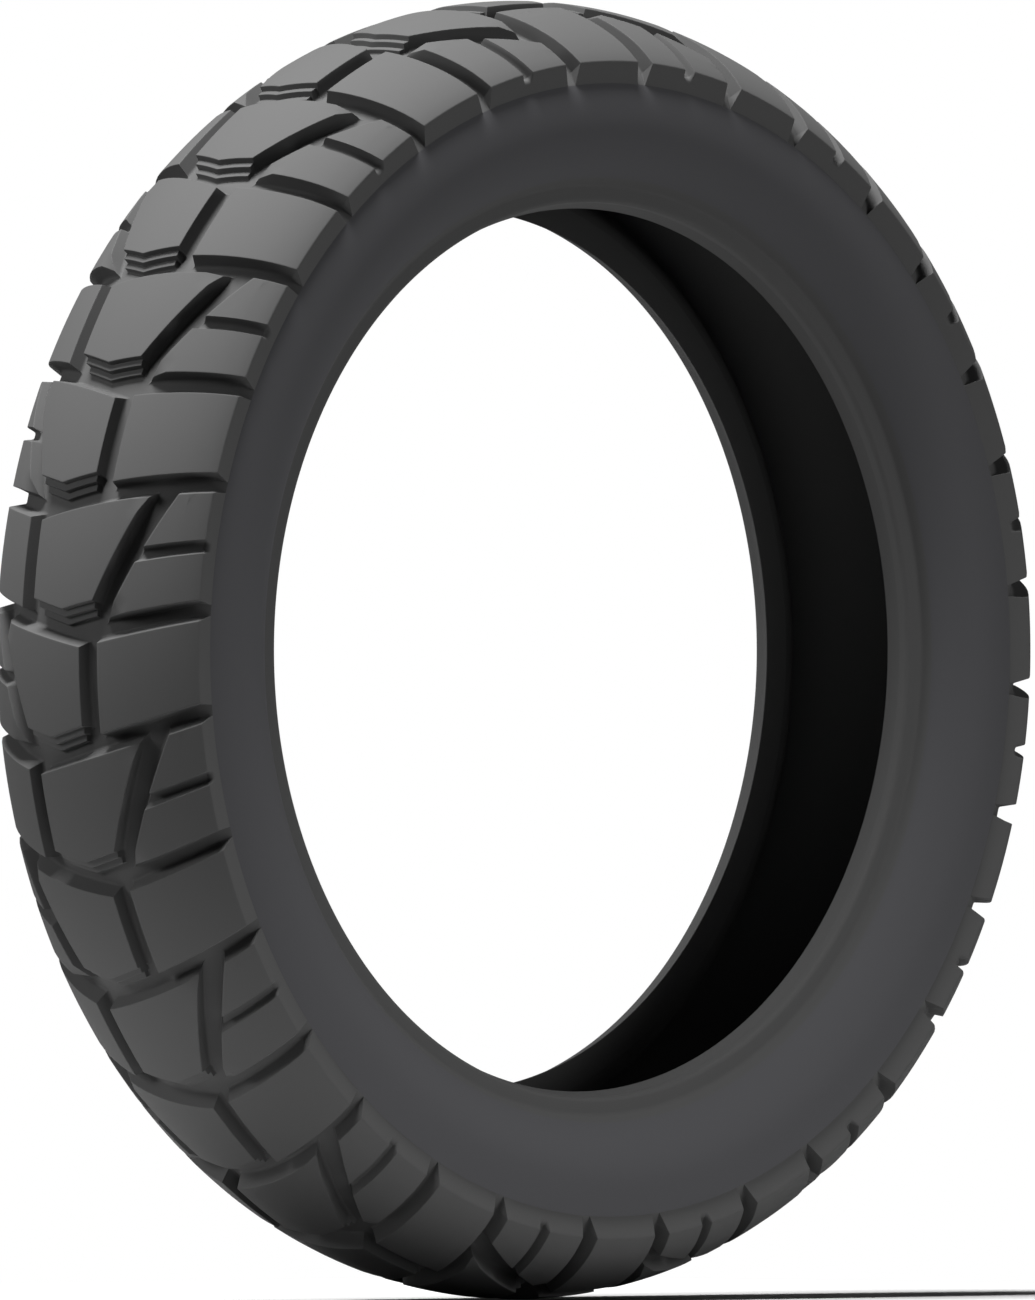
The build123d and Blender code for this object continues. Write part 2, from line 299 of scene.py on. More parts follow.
FINISHES: tuple[Rubber | Cord | CoatedWire, ...] = (
    # The tread rubber keeps 0.36 of its tone where the painted groove shade is full.
    Rubber("tread_rubber", 0.046, 0.50, grain=0.0010, grain_height=0.00016, painted_shade_share=0.36),
    Rubber("sidewall_rubber", 0.050, 0.60, grain=0.0005, grain_height=0.00004),
    Rubber("chafer_rubber", 0.052, 0.58, grain=0.0005, grain_height=0.00004),
    Rubber("liner_rubber", 0.050, 0.62, grain=0.0009),
    Rubber("filler_rubber", 0.05, 0.7),
    Cord("ply_cord", (0.24, 0.21, 0.16), (0.07, 0.065, 0.06)),
    Cord("belt_cord", (0.36, 0.29, 0.13), (0.08, 0.07, 0.055), slant=-0.4),
    CoatedWire("bead_wire"),
)


# ---------------------------------------------------------------------------------------------
# Shapes
# ---------------------------------------------------------------------------------------------
def heading(angle: np.ndarray | float) -> np.ndarray:
    """Unit vectors at angles in degrees from the direction away from the axle."""
    turn = np.radians(angle)
    return np.stack([np.cos(turn), np.sin(turn)], axis=-1)


class Contour:
    """Tangent arcs and straight lines in the tire's cross-section.

    Points are pairs of millimetres: the distance from the axle and the distance from the
    middle plane. Each point has an outward side direction, a quarter turn behind the way on.
    """

    def __init__(self, start: Sequence[float], side: float = 0.0) -> None:
        """Start at a point.

        Args:
            start: the first point.
            side: its side direction in degrees.
        """
        self.ends = [np.array(start, dtype=float)]
        self.sides = [side]
        self.marks = [0.0]
        self.centres: list[np.ndarray | None] = []

    def bend(self, radius: float, turn: float) -> "Contour":
        """Add an arc.

        Args:
            radius: the arc's radius.
            turn: how far it turns in degrees; a positive turn bends away from the side.

        Returns:
            The contour itself.
        """
        reach = math.copysign(radius, turn)
        centre = self.ends[-1] - heading(self.sides[-1]) * reach
        self.centres.append(centre)
        self.sides.append(self.sides[-1] + turn)
        self.ends.append(centre + heading(self.sides[-1]) * reach)
        self.marks.append(self.marks[-1] + radius * math.radians(abs(turn)))
        return self

    def run(self, length: float) -> "Contour":
        """Add a straight line.

        Args:
            length: the line's length.

        Returns:
            The contour itself.
        """
        self.centres.append(None)
        self.ends.append(self.ends[-1] + heading(self.sides[-1] + 90) * length)
        self.sides.append(self.sides[-1])
        self.marks.append(self.marks[-1] + length)
        return self

    def at(self, along: np.ndarray) -> tuple[np.ndarray, np.ndarray]:
        """Points and side directions at lengths along the contour.

        An arc's point is its centre plus its radius times the side direction, which turns
        evenly with length. A line's point is its start plus the length times its direction.

        Args:
            along: lengths from the start, of any shape.

        Returns:
            The points and the side directions, each with a last axis of two.
        """
        point = np.zeros(along.shape + (2,))
        side = np.zeros_like(point)
        last = len(self.centres) - 1
        for index, centre in enumerate(self.centres):
            low = -np.inf if index == 0 else self.marks[index]
            high = np.inf if index == last else self.marks[index + 1]
            here = (along >= low) & (along < high)
            beyond = along[here] - self.marks[index]
            if centre is None:
                side[here] = heading(self.sides[index])
                point[here] = self.ends[index] + beyond[:, None] * heading(self.sides[index] + 90)
                continue
            length = self.marks[index + 1] - self.marks[index]
            turn = self.sides[index + 1] - self.sides[index]
            side[here] = heading(self.sides[index] + turn * beyond / length)
            reach = np.dot(self.ends[index] - centre, heading(self.sides[index]))
            point[here] = centre + side[here] * reach
        return point, side

    def sample(self, step: float, fine: float = 7.0) -> np.ndarray:
        """Points along the whole contour, no further apart than a step, closer on tight arcs.

        Args:
            step: the longest distance between points.
            fine: the largest turn in degrees between points.

        Returns:
            The points, with every joint among them.
        """
        marks = [np.array([0.0])]
        for index in range(len(self.centres)):
            length = self.marks[index + 1] - self.marks[index]
            turn = abs(self.sides[index + 1] - self.sides[index])
            count = max(1, math.ceil(length / step), math.ceil(turn / fine))
            marks.append(self.marks[index] + length * np.arange(1, count + 1) / count)
        return self.at(np.concatenate(marks))[0]


def to_mesh(name: str, points: np.ndarray, triangles: np.ndarray) -> bpy.types.Object:
    """Put whole arrays into a new mesh object.

    Args:
        name: the object's name.
        points: vertex places in metres, three to a row.
        triangles: vertex numbers, three to a row.

    Returns:
        The object, linked into the scene, with its place in its mesh.
    """
    mesh = bpy.data.meshes.new(name)
    mesh.vertices.add(len(points))
    mesh.vertices.foreach_set("co", points.astype(np.float32).ravel())
    mesh.loops.add(triangles.size)
    mesh.loops.foreach_set("vertex_index", triangles.astype(np.int32).ravel())
    mesh.polygons.add(len(triangles))
    mesh.polygons.foreach_set("loop_start", np.arange(0, triangles.size, 3, dtype=np.int32))
    mesh.polygons.foreach_set("use_smooth", np.ones(len(triangles), dtype=bool))
    mesh.update()
    mesh.validate()
    mesh.set_sharp_from_angle(angle=math.radians(SHARP_ANGLE))
    piece = bpy.data.objects.new(name, mesh)
    bpy.context.scene.collection.objects.link(piece)
    return piece


def mark_painted_shade(piece: bpy.types.Object, scuffed: np.ndarray) -> None:
    """Keep how clear of painted shade each vertex is, from 0 (full painted shade) to 1 (none), in
    the piece's own attribute.
    """
    layer = piece.data.attributes.new("scuffed", "FLOAT", "POINT")
    layer.data.foreach_set("value", scuffed.astype(np.float32))


def ring(name: str, outline: np.ndarray, segments: int = 384) -> bpy.types.Object:
    """Turn a closed outline about the axle.

    The surface point is the outline's distance from the axle times the cosine and sine of the
    turn, with its distance from the middle plane along Y. Both parameters are closed.

    Args:
        name: the object's name.
        outline: closed outline in millimetres, with its inside to the left of its way round.
        segments: how many steps make the full turn.

    Returns:
        The ring.
    """
    turn = 2 * np.pi * np.arange(segments) / segments
    points = np.stack([
        outline[None, :, 0] * np.cos(turn)[:, None],
        np.broadcast_to(outline[None, :, 1], (segments, len(outline))),
        outline[None, :, 0] * np.sin(turn)[:, None],
    ], axis=-1).reshape(-1, 3) * MM
    column, row = np.meshgrid(np.arange(segments), np.arange(len(outline)), indexing="ij")
    ahead, over = (column + 1) % segments, (row + 1) % len(outline)
    corners = [a * len(outline) + b for a, b in
               ((column, row), (column, over), (ahead, over), (ahead, row))]
    first = np.stack([corners[0], corners[1], corners[2]], axis=-1).reshape(-1, 3)
    second = np.stack([corners[0], corners[2], corners[3]], axis=-1).reshape(-1, 3)
    return to_mesh(name, points, np.concatenate([first, second]))


def counter_clockwise(outline: np.ndarray) -> np.ndarray:
    """Put an outline's inside to the left, turning it round if its signed area is negative.

    Args:
        outline: a closed outline.

    Returns:
        The outline, run through the one way or the other.
    """
    ahead = np.roll(outline, -1, axis=0)
    area = np.sum(outline[:, 0] * ahead[:, 1] - ahead[:, 0] * outline[:, 1])
    return outline if area > 0 else outline[::-1]


def band(outer: np.ndarray, inner: np.ndarray) -> np.ndarray:
    """Closed outline between two lines that start in the middle plane, and their mirror images."""
    flip = np.array([1.0, -1.0])
    return counter_clockwise(np.concatenate(
        [outer, inner[::-1], (inner * flip)[1:], (outer * flip)[:0:-1]]))


@dataclass
class TireShape:
    """Sizes of the cross-section in millimetres, and the surfaces that follow from them."""

    outer_radius: float = 335.2
    crown_arc: float = 103.7
    crown_turn: float = 35.0
    shoulder_arc: float = 66.1
    shoulder_turn: float = 51.5
    corner_round: float = 1.3
    tread_depth: float = 8.6
    crease: Pair = (292.0, 70.066)
    widest: Pair = (273.1, 72.8)
    upper_arc: float = 66.7
    flange_corner: Pair = (239.7, 56.2)
    flange_fillet: float = 3.0
    heel: Pair = (230.6, 55.8)
    heel_round: float = 2.5
    land_length: float = 4.0
    toe: Pair = (227.6, 44.0)
    toe_round: float = 0.5
    liner_crown: Pair = (317.3, 0.0)
    liner_bends: tuple[Pair, ...] = ((85.8, 35.0), (39.14, 55.0), (12.1, 55.46))
    liner_run: float = 13.24
    liner_hollow: float = 11.9
    pitch_count: int = 16
    tail_fall: float = 0.4
    surface: Contour = field(init=False)

    def __post_init__(self) -> None:
        """Lay out the tread's outer contour: crown, shoulder, rounded corner and side face."""
        sharp = Contour((self.outer_radius, 0.0)).bend(self.crown_arc, self.crown_turn)
        sharp.bend(self.shoulder_arc, self.shoulder_turn - self.crown_turn)
        way = np.array(self.crease) - sharp.ends[-1]
        face = math.degrees(math.atan2(way[1], way[0])) % 360 - 90
        cut = self.corner_round * math.tan(math.radians(face - self.shoulder_turn) / 2)
        short = self.shoulder_turn - math.degrees(cut / self.shoulder_arc)
        self.surface = Contour((self.outer_radius, 0.0)).bend(self.crown_arc, self.crown_turn)
        self.surface.bend(self.shoulder_arc, short - self.crown_turn)
        self.surface.bend(self.corner_round, face - short)
        self.surface.run(float(np.hypot(*way)) - cut)
        self.corner = sharp.marks[-1]
        self.corner_start, self.corner_end, self.crease_mark = self.surface.marks[2:5]
        self.low_corner = self.surface.ends[2] - heading(short) * self.tread_depth
        self.low_crease = self.surface.ends[-1]

    @property
    def pitch_length(self) -> float:
        """Length of one pitch round the crown."""
        return 2 * math.pi * self.outer_radius / self.pitch_count

    def tread_point(self, across: np.ndarray, share: np.ndarray, depth: np.ndarray) -> np.ndarray:
        """Points at a depth under the tread surface.

        A point is the outer contour's, moved towards the groove floor by depth over tread
        depth. On the crown and shoulder the floor lies straight below. Down the side face it
        runs on a line from the lowered corner to the crease. The pair is then turned about
        the axle by its share of a pitch. Positive lengths across lie on the right-hand side.

        Args:
            across: lengths round the contour from the middle plane.
            share: places round the tire, in pitches.
            depth: depths in millimetres.

        Returns:
            Points in metres, with a last axis of three.
        """
        along = np.abs(across)
        point, side = self.surface.at(along)
        below = point - self.tread_depth * side
        down = np.clip((along - self.corner_start) / (self.crease_mark - self.corner_start), 0, 1)
        slant = self.low_corner + down[..., None] * (self.low_crease - self.low_corner)
        beyond = np.maximum(along - self.crease_mark, 0)[..., None]
        tail = point - self.tail_fall * beyond * side
        floor = np.where((along > self.corner_start)[..., None], slant, below)
        floor = np.where(beyond > 0, tail, floor)
        flat = point + (depth / self.tread_depth)[..., None] * (floor - point)
        turn = 2 * np.pi * share / self.pitch_count
        return MM * np.stack([flat[..., 0] * np.cos(turn), -np.sign(across) * flat[..., 1],
                              flat[..., 0] * np.sin(turn)], axis=-1)


@dataclass(frozen=True)
class Wall:
    """One wall of a block: rounded rim, drafted face and a fillet at its foot.

    Extra rows stand a hold from both ends of the face and an inset inside the rim, and the
    last one is buried under the groove floor. A wall that isn't closed goes straight down.
    """

    draft: float
    rim: float = 0.45
    foot: float = 1.8
    closed: bool = True
    hold: float = 0.35
    inset: float = 0.6
    bury: float = 0.6

    def levels(self, top: float, floor: float, extra: Sequence[float] = ()) -> np.ndarray:
        """Offsets out from the block's edge and the depths there, from the top down.

        The rim is an arc tangent to the top and to the face. The face moves out by the tangent
        of the draft for each millimetre down. The foot is an arc tangent to face and floor.

        Args:
            top: depth of the block's top.
            floor: depth of the groove floor.
            extra: more depths wanted on the face.

        Returns:
            Pairs of offset and depth.
        """
        lean = math.radians(self.draft)
        if not self.closed:
            return np.array([[0.0, top], [0.0, floor + 0.5]])
        turn = np.linspace(0, np.pi / 2 - lean, 5)
        rim = np.stack([self.rim * (math.tan(lean) - 1 / math.cos(lean) + np.sin(turn)),
                        self.rim * (1 - np.cos(turn))], axis=-1)
        height = floor - top
        swing = np.linspace(lean, np.pi / 2, 6)
        centre = (height - self.foot) * math.tan(lean) + self.foot / math.cos(lean)
        foot = np.stack([centre - self.foot * np.cos(swing),
                         height - self.foot * (1 - np.sin(swing))], axis=-1)
        steady = [rim[-1, 1] + self.hold, *[depth - top for depth in extra],
                  foot[0, 1] - self.hold]
        face = np.array([[depth * math.tan(lean), depth] for depth in sorted(steady)])
        inner = np.array([[rim[0, 0] - self.inset, 0.0]])
        buried = foot[-1:] + [[0.02, 0.03]], foot[-1:] + [[0.02, self.bury]]
        levels = np.concatenate([inner, rim, face, foot, *buried])
        levels[:, 1] += top
        return levels


class Edge:
    """A block's front or back edge: a polyline of lengths across against lengths round."""

    def __init__(self, knots: Sequence[Pair], pitch_length: float) -> None:
        """Keep the knots.

        Args:
            knots: pairs of length across in millimetres and share of a pitch.
            pitch_length: length of a pitch in millimetres.
        """
        table = np.array(knots, dtype=float)
        self.across = table[:, 0]
        self.round = table[:, 1] * pitch_length

    def at(self, across: np.ndarray) -> np.ndarray:
        """Length round at lengths across, running on straight past the end knots.

        Args:
            across: lengths across.

        Returns:
            Lengths round, of the same shape.
        """
        slopes = np.diff(self.round) / np.diff(self.across)
        inside = np.interp(across, self.across, self.round)
        before = np.minimum(across - self.across[0], 0) * slopes[0]
        after = np.maximum(across - self.across[-1], 0) * slopes[-1]
        return inside + before + after

    def stretch(self, across: np.ndarray) -> np.ndarray:
        """How far round one millimetre square to the edge reaches."""
        slope = (self.at(across + 0.01) - self.at(across - 0.01)) / 0.02
        return np.sqrt(1 + slope**2)


@dataclass
class Station:
    """A line across the pitch, where length across is a start plus a slope times length round."""

    start: float
    slope: float = 0.0

    @classmethod
    def through(cls, first: Pair, second: Pair,
                pitch_length: float) -> "Station":
        """The line through two places, each a length across and a share of a pitch."""
        slope = (second[0] - first[0]) / ((second[1] - first[1]) * pitch_length)
        return cls(first[0] - slope * first[1] * pitch_length, slope)

    def beside(self, offset: float) -> "Station":
        """The parallel line a distance further across."""
        return Station(self.start + offset * math.sqrt(1 + self.slope**2), self.slope)


@dataclass
class Block:
    """A four-sided tread block on a grid that follows its edges.

    Grid columns are lines between the inner and the outer side, and grid rows are shares of
    the way from the front edge to the back edge. Walls are columns and rows outside the four
    sides. A grid point's depth is the largest of its column's, its row's and its facets'.
    """

    shape: TireShape
    front: Edge
    back: Edge
    stations: list[tuple[Station, int]]
    inner_wall: Wall
    outer_wall: Wall
    front_wall: Wall
    back_wall: Wall
    top: float = 0.0
    rows: Sequence[float] = (0.12, 0.25, 0.38, 0.5, 0.62, 0.75, 0.88)
    facets: list[list[tuple[float, float, float]]] = field(default_factory=list)
    groove: "Groove | None" = None
    extra_depths: Sequence[float] = ()
    # Painted shade: the depth below the top where it starts, the depth over which it becomes full,
    # and the most light left on the side face.
    shade_start: float = 0.1
    shade_depth: float = 0.7
    side_unshaded: float = 0.12
    rounds: int = 14
    least_fade: float = 0.03
    overlap: float = 0.02
    hub_depth: float = 2.0

    def columns(self) -> tuple[np.ndarray, np.ndarray, np.ndarray]:
        """Start, slope and depth of every column, from the inner side out.

        Between stations, start and slope change evenly. Outside the first and the last
        station, columns are parallel to them at the walls' offsets.

        Returns:
            Three arrays, one entry for each column.
        """
        floor = self.shape.tread_depth
        first, last = self.stations[0][0], self.stations[-1][0]
        found: list[tuple[float, float, float]] = []
        for offset, depth in self.inner_wall.levels(self.top, floor, self.extra_depths)[::-1]:
            line = first.beside(-offset)
            found.append((line.start, line.slope, depth))
        for (low, count), (high, _) in zip(self.stations, self.stations[1:]):
            for share in np.arange(0 if low is not first else 1, count) / count:
                found.append((low.start + share * (high.start - low.start),
                              low.slope + share * (high.slope - low.slope), self.top))
        for offset, depth in self.outer_wall.levels(self.top, floor, self.extra_depths):
            line = last.beside(offset)
            found.append((line.start, line.slope, depth))
        table = np.array(found)
        return table[:, 0], table[:, 1], table[:, 2]

    def row_table(self) -> tuple[np.ndarray, np.ndarray, np.ndarray, np.ndarray]:
        """Share, offset, depth and groove share of every row, from the front to the back.

        Returns:
            Four arrays, one entry for each row.
        """
        floor = self.shape.tread_depth
        front = self.front_wall.levels(self.top, floor, self.extra_depths)[::-1]
        back = self.back_wall.levels(self.top, floor, self.extra_depths)
        found = [(0.0, -offset, depth, 0.0) for offset, depth in front]
        found += [(share, 0.0, self.top, 0.0) for share in self.rows]
        if self.groove is not None:
            found += self.groove.rows(self.top)
            found.sort(key=lambda row: (row[0], row[1]))
        found += [(1.0, offset, depth, 0.0) for offset, depth in back]
        table = np.array(found)
        return table[:, 0], table[:, 1], table[:, 2], table[:, 3]

    def grid(self) -> tuple[np.ndarray, np.ndarray, np.ndarray]:
        """Length across, length round and depth of every grid point.

        Column and row lines cross where length across fits the column and length round fits
        the row, which a few rounds of putting one into the other settles.

        Returns:
            Three arrays of columns by rows.
        """
        start, slope, column_depth = (part[:, None] for part in self.columns())
        share, offset, row_depth, grooved = (part[None, :] for part in self.row_table())
        across = start + slope * self.front.at(np.zeros_like(start))
        across = np.broadcast_to(across, (start.shape[0], share.shape[1])).copy()
        fall = self.shape.crease_mark - self.shape.corner
        for _ in range(self.rounds):
            fade = np.clip(1 - (np.abs(across) - self.shape.corner) / fall, self.least_fade, 1.0)
            stretch = (1 - share) * self.front.stretch(across) + share * self.back.stretch(across)
            start_edge, end_edge = self.front.at(across), self.back.at(across)
            base = (1 - share) * start_edge + share * end_edge
            if self.groove is not None:
                base = self.groove.base(share, across, start_edge, end_edge)
            round_place = base + offset * stretch * fade
            across = start + slope * round_place
        depth = np.maximum(column_depth, row_depth + 0 * across)
        if self.groove is not None:
            depth = np.maximum(depth, grooved * self.groove.depth_at(across, self.shape))
        for corners in self.facets:
            depth = np.maximum(depth, np.minimum(self.facet_depth(corners, across, round_place),
                                                 self.shape.tread_depth + self.overlap))
        return across, round_place, depth

    def facet_depth(self, corners: list[tuple[float, float, float]], across: np.ndarray,
                    round_place: np.ndarray) -> np.ndarray:
        """Depth of a plane through three places, everywhere on the grid.

        Args:
            corners: three places, each a length across, a share of a pitch and a depth.
            across: lengths across.
            round_place: lengths round.

        Returns:
            Depths, of the shape of the grid.
        """
        table = np.array([(a, r * self.shape.pitch_length, d) for a, r, d in corners])
        system = np.column_stack([table[:, 0], table[:, 1], np.ones(3)])
        along, behind, constant = np.linalg.solve(system, table[:, 2])
        return along * across + behind * round_place + constant

    def mesh(self) -> tuple[np.ndarray, np.ndarray, np.ndarray]:
        """Points, triangles and painted shade of the block, closed by a hidden point below it.

        Each cell is split along the diagonal whose ends are the less deep, which keeps the
        ridges of a convex block straight.

        Returns:
            Points in metres, triangles that face outwards on the right-hand side, and how clear of
            painted shade each point is, which falls from 1 at the top to 0 a little way down the
            groove walls.
        """
        across, round_place, depth = self.grid()
        wide, long = across.shape
        points = self.shape.tread_point(across, round_place / self.shape.pitch_length, depth)
        number = np.arange(wide * long).reshape(wide, long)
        a, b, c, d = (number[:-1, :-1], number[1:, :-1], number[1:, 1:], number[:-1, 1:])
        flat = depth.ravel()
        keep = (flat[a] + flat[c] <= flat[b] + flat[d] + 1e-9)[..., None]
        first = np.where(keep, np.stack([a, d, c], -1), np.stack([a, d, b], -1)).reshape(-1, 3)
        second = np.where(keep, np.stack([a, c, b], -1), np.stack([b, d, c], -1)).reshape(-1, 3)
        rim = np.concatenate([number[:, 0], number[-1, 1:], number[-2::-1, -1], number[0, -2:0:-1]])
        middle = self.shape.tread_point(
            np.array([across.mean()]), np.array([round_place.mean() / self.shape.pitch_length]),
            np.array([self.shape.tread_depth + self.hub_depth]))
        hub = np.full(len(rim), wide * long)
        floor = np.stack([rim, np.roll(rim, -1), hub], -1)
        triangles = np.concatenate([first, second, floor])
        # Painted shade: the colour darkens down the groove walls, where shade falls.
        scuffed = np.clip(1 - (flat - self.top - self.shade_start) / self.shade_depth, 0, 1)
        # The side face below the shoulder corner isn't a groove wall: it gets a deep painted shade,
        # a little lighter where it stands out and darkest in the hollows between blocks.
        on_side = np.abs(across.ravel()) > self.shape.corner_start
        sheltered = depth - np.minimum(depth.min(axis=1, keepdims=True), self.shape.tread_depth)
        exposed = np.clip(1 - sheltered.ravel() / self.shade_depth, 0, 1)
        scuffed = np.where(on_side, self.side_unshaded * exposed, scuffed)
        return (np.concatenate([points.reshape(-1, 3), middle]), triangles,
                np.append(scuffed, 0.0))


@dataclass
class Groove:
    """A shallow round-bottomed groove across a shoulder block, along two edges of its own."""

    front: Edge
    back: Edge
    depth: float
    front_share: float
    back_share: float
    runout_share: float = 0.52
    levels: tuple[Pair, ...] = (
        (-0.10, 0.0), (0.0, 0.0), (0.03, 0.08), (0.10, 0.45), (0.16, 0.75), (0.25, 0.94),
        (0.38, 1.0), (0.5, 1.0), (0.62, 1.0), (0.73, 0.94), (0.80, 0.75), (0.88, 0.40),
        (0.97, 0.06), (1.0, 0.0), (1.10, 0.0))

    def rows(self, top: float) -> list[tuple[float, float, float, float]]:
        """Extra grid rows: their share of the block, no offset, the top's depth, groove share."""
        wide = self.back_share - self.front_share
        return [(self.front_share + level * wide, 0.0, top, share) for level, share in self.levels]

    def base(self, share: np.ndarray, across: np.ndarray, start: np.ndarray,
             end: np.ndarray) -> np.ndarray:
        """Length round of every row: the groove's own rows keep to its edges.

        Rows before the groove share the way from the block's front edge to the groove's, and
        rows behind it the way from the groove's back edge to the block's.

        Args:
            share: shares of the block's rows.
            across: lengths across.
            start: length round of the block's front edge there.
            end: length round of the block's back edge there.

        Returns:
            Lengths round, of the shape of the grid.
        """
        first, last = self.front.at(across), self.back.at(across)
        low, high = self.front_share, self.back_share
        inside = first + (share - low) / (high - low) * (last - first)
        before = start + share / low * (first - start)
        after = last + (share - high) / (1 - high) * (end - last)
        return np.where(share < low, before, np.where(share > high, after, inside))

    def share_at(self, across: float, round_place: float, end: float) -> float:
        """The share of the row behind the groove that passes through a place."""
        last = float(self.back.at(np.array(across)))
        return self.back_share + (round_place - last) / (end - last) * (1 - self.back_share)

    def depth_at(self, across: np.ndarray, shape: TireShape) -> np.ndarray:
        """Depth of the floor, which runs straight on past the shoulder corner and comes out."""
        runout = self.runout_share * (shape.crease_mark - shape.corner)
        return self.depth * np.clip(1 - (np.abs(across) - shape.corner) / runout, 0, 1)


# ---------------------------------------------------------------------------------------------
# Sub-assemblies
# ---------------------------------------------------------------------------------------------
def dress(piece: bpy.types.Object, slot: str, *nodes: str) -> None:
    """Finish a new piece, let it ride with the tire and hide the CAD nodes that it stands for.

    Args:
        piece: the piece.
        slot: the name of its finish.
        *nodes: the CAD nodes that it replaces.
    """
    piece.data.materials.clear()
    piece.data.materials.append(bpy.data.materials[slot])
    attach(piece, BODY)
    if nodes:
        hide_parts(*nodes)
    LOG.info("%s: %d vertices", piece.name, len(piece.data.vertices))


@dataclass
class Casing:
    """The plies, belts and bead parts inside the rubber, which keep their CAD shapes."""

    slots: dict[str, str] = field(default_factory=lambda: {
        "carcass_ply": "ply_cord", "belt_ply": "belt_cord", "bead_filler": "filler_rubber",
        "bead_core_rubber": "filler_rubber", "bead_wires": "bead_wire"})

    def build(self) -> None:
        """Give each hidden CAD node its own finish."""
        for node in frame["nodes"]:
            slot = next((slot for start, slot in self.slots.items()
                         if node.startswith(start)), None)
            if slot is None:
                continue
            part = bpy.data.objects[node]
            if not part.material_slots:
                part.data.materials.append(None)
            for place in part.material_slots:
                place.link = "OBJECT"
                place.material = bpy.data.materials[slot]
            LOG.info("%s: finished as %s", node, slot)


@dataclass(frozen=True)
class Pattern:
    """Corners of the blocks, each a length across in millimetres and a share of a pitch.

    Corners on the inner sides, the shoulder corner and the crease are shares only, because
    their lengths across come from the tread and the cross-section.
    """

    center_inner: Pair = (0.489, 0.798)
    center_front: Pair = (40.1, 0.393)
    center_peak: Pair = (5.0, 0.841)
    center_back: Pair = (24.4, 0.805)
    beak_side: Pair = (44.6, 0.444)
    beak_apex: Pair = (56.2, 0.338)
    step_root: float = 0.72
    large_front: tuple[float, float, float] = (-0.028, -0.124, -0.152)
    large_back: tuple[float, float, float] = (0.331, 0.229, 0.244)
    split_inner_front: Pair = (64.9, 0.351)
    split_inner_back: Pair = (36.8, 0.809)
    split_point: Pair = (41.2, 0.856)
    split_apex: Pair = (29.6, 0.895)
    split_front: Pair = (0.318, 0.292)
    split_back: Pair = (0.786, 0.800)
    groove_front: tuple[Pair, Pair] = ((50.5, 0.580), (0.522, 0.525))
    groove_back: tuple[Pair, Pair] = ((46.7, 0.649), (0.584, 0.575))
    groove_rows: Pair = (0.46, 0.60)


